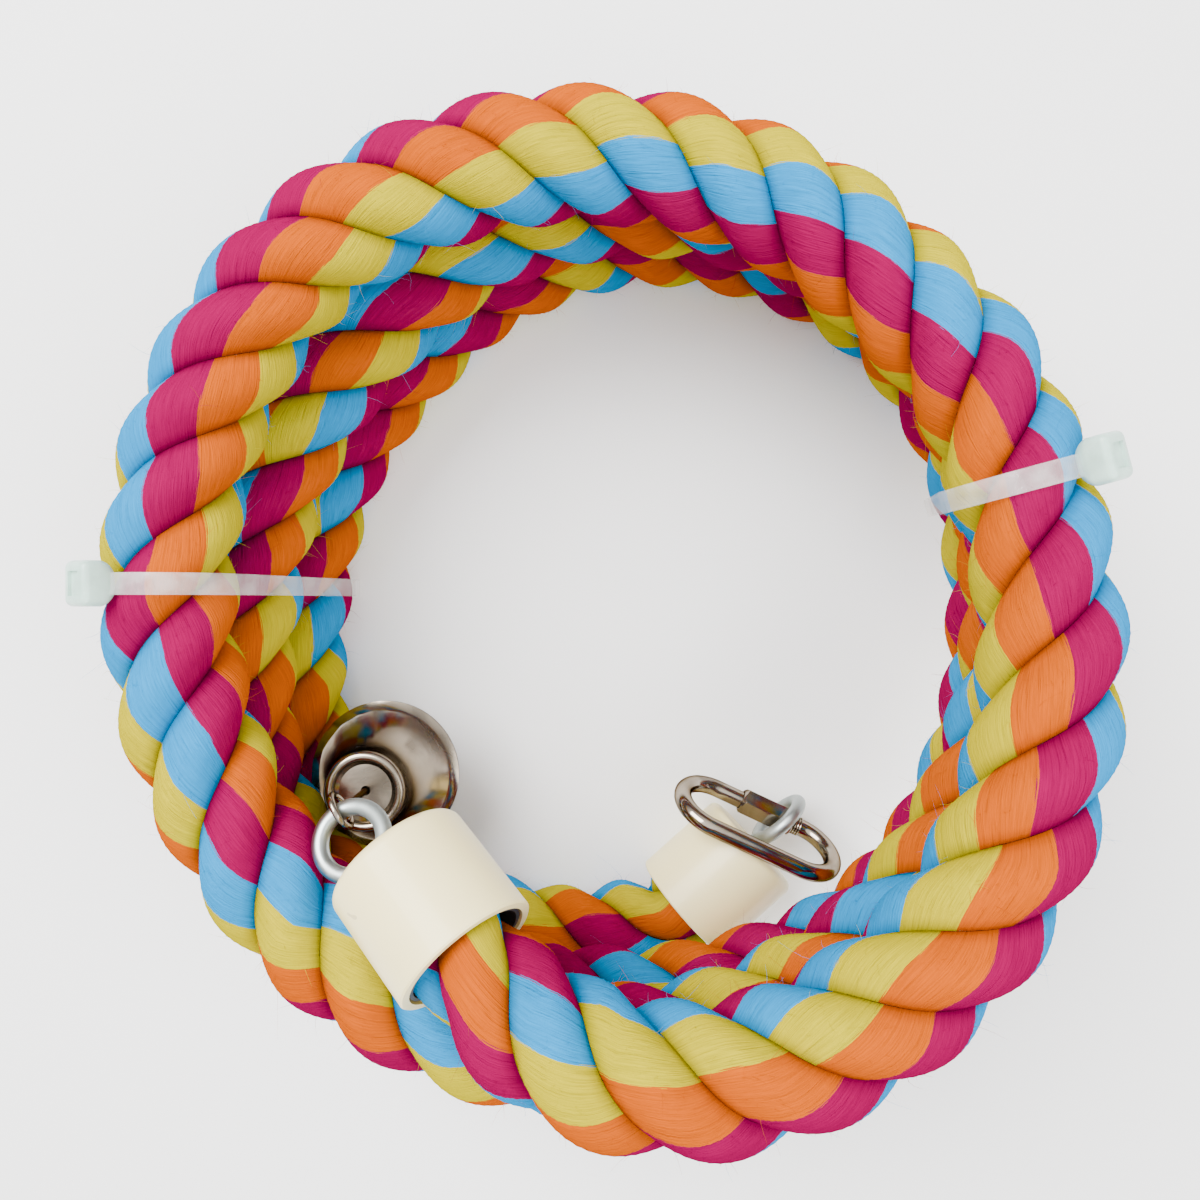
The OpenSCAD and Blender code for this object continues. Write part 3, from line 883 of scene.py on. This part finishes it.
def makeBell():
    bv = bellValues
    outline = bellOutline()
    deselectAll()
    r0, z0 = outline[0]
    bpy.ops.mesh.primitive_circle_add(vertices=bv["sides"], radius=r0, fill_type="NOTHING",
                                      location=(*bv["axis"], bv["mouthZ"] + z0))
    made = bpy.context.object
    made.name = "bell_spun"
    bpy.ops.object.mode_set(mode="EDIT")
    bpy.ops.mesh.select_all(action="SELECT")
    for (r1, z1), (r2, z2) in zip(outline, outline[1:]):
        bpy.ops.mesh.extrude_region_move(TRANSFORM_OT_translate={"value": (0, 0, z2 - z1)})
        bpy.ops.transform.resize(value=(r2 / r1, r2 / r1, 1),
                                 center_override=(*bv["axis"], bv["mouthZ"] + z2))
    bpy.ops.mesh.select_all(action="SELECT")
    bpy.ops.mesh.remove_doubles(threshold=bv["merge"])
    bpy.ops.object.mode_set(mode="OBJECT")
    finishPiece(made, "bell_body", spunNickel, bv["smooth"])
    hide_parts("bell")
    return made


print("bell", len(makeBell().data.polygons))

# sleeve nut with turned-down corners, and the thread's last rings beside it
linkValues = {
    "middle": (0.0423242, -0.0594491, 0.0171),
    "long": (0.906308, -0.422618, 0.0),
    "across": (-0.167652, -0.359531, 0.917949),
    "flats": 0.007,
    "sleeve": 0.016,
    "sleeveAt": 0.0025,
    "corner": 0.0011,
    "cornerAngle": 60,
    "turnedShare": 1.005,  # the round bar, of the hexagon's corners
    "turnedSides": 96,
    "bore": 0.0025,
    "boreSides": 64,
    "ringsAt": (0.0110, 0.0117, 0.0124),
    "ringRadius": 0.0024,
    "ringWire": 0.0003,
    "ringSides": (64, 10),
    "edge": 0.00012,
    "edgeAngle": 25,
    "smooth": 20,
}
longWay, acrossWay = Vector(linkValues["long"]), Vector(linkValues["across"])
linkTurn = Matrix((acrossWay, longWay.cross(acrossWay), longWay)).transposed().to_euler()


def makeSleeve():
    lv = linkValues
    place = Vector(lv["middle"]) + longWay * lv["sleeveAt"]
    corner = lv["flats"] / 2 / math.cos(math.radians(30))
    made = cylinderAt("sleeve_nut_turned", 6, corner, lv["sleeve"], place, linkTurn)
    turned = cylinderAt("turnedDown", lv["turnedSides"], corner * lv["turnedShare"], lv["sleeve"],
                        place, linkTurn)
    bevelEdges(turned, lv["corner"], lv["cornerAngle"], segments=1)
    combine(made, "INTERSECT", turned)
    combine(made, "DIFFERENCE", cylinderAt("bore", lv["boreSides"], lv["bore"], lv["sleeve"] * 2,
                                           place, linkTurn))
    bevelEdges(made, lv["edge"], lv["edgeAngle"])
    finishPiece(made, "sleeve", nickel, lv["smooth"])
    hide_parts("sleeve_nut")
    return made


print("sleeve", len(makeSleeve().data.polygons))


def makeThread():
    lv = linkValues
    places = lv["ringsAt"]
    deselectAll()
    bpy.ops.mesh.primitive_torus_add(
        major_radius=lv["ringRadius"], minor_radius=lv["ringWire"],
        major_segments=lv["ringSides"][0], minor_segments=lv["ringSides"][1],
        location=Vector(lv["middle"]) + longWay * places[0], rotation=linkTurn)
    made = bpy.context.object
    made.name = "link_thread"
    bpy.ops.object.mode_set(mode="EDIT")
    bpy.ops.mesh.select_all(action="SELECT")
    for last, at in zip(places, places[1:]):
        bpy.ops.mesh.duplicate_move(
            TRANSFORM_OT_translate={"value": longWay * (at - last)})
    bpy.ops.object.mode_set(mode="OBJECT")
    finishPiece(made, "link", nickel)
    return made


print("thread", len(makeThread().data.polygons))

# floor and light
studioValues = {
    "floor": tint(250, 250, 250),
    "floorSize": 12.0,
    "paperScale": 60.0,
    "paperShade": 0.985,
    "skyline": (0.2, 0.98),  # height over which the room grows bright
    "low": (0.44, 0.40, 0.36),
    "high": (2.4, 2.4, 2.4),
    "aimAt": (0, 0, 0.05),
    # where it stands, its size, its power
    "key": ((-0.5, 0.45, 0.95), 0.7, 32.0),
    "fill": ((0.6, -0.35, 0.8), 0.9, 13.0),
}


def makeFloor():
    sv = studioValues
    deselectAll()
    bpy.ops.mesh.primitive_plane_add(size=sv["floorSize"], location=(0, 0, 0))
    floor = bpy.context.object
    floor.name = "paleFloor"
    paper = Finish("palePaper", roughness=0.9)
    paper.feed("Base Color", paper.blend(paper.noise(sv["paperScale"]),
                                         darker(sv["floor"], sv["paperShade"]), sv["floor"]))
    floor.data.materials.append(paper.material)


def makeRoom():
    sv = studioValues
    world = bpy.data.worlds.new("studio")
    world.use_nodes = True
    room = NodeTree(world.node_tree)
    around = room.node("ShaderNodeTexCoord", out="Generated")
    height = room.node("ShaderNodeSeparateXYZ", None, {0: around}, out="Z")
    rise = room.node("ShaderNodeMapRange", None, {0: height, 1: sv["skyline"][0],
                                                  2: sv["skyline"][1]})
    shade = room.node("ShaderNodeMix", {"data_type": "RGBA"},
                      {0: rise, 6: sv["low"], 7: sv["high"]}, out=2)
    room.put(world.node_tree.nodes["Background"].inputs["Color"], shade)
    bpy.context.scene.world = world


def softLight(name, place, size, power):
    deselectAll()
    bpy.ops.object.light_add(type="AREA", location=place)
    light = bpy.context.object
    light.name = name
    light.data.shape = "SQUARE"
    light.data.size = size
    light.data.energy = power
    away = Vector(studioValues["aimAt"]) - Vector(place)
    light.rotation_euler = away.to_track_quat("-Z", "Y").to_euler()


makeFloor()
makeRoom()
softLight("keyLight", *studioValues["key"])
softLight("fillLight", *studioValues["fill"])
print("stage set")
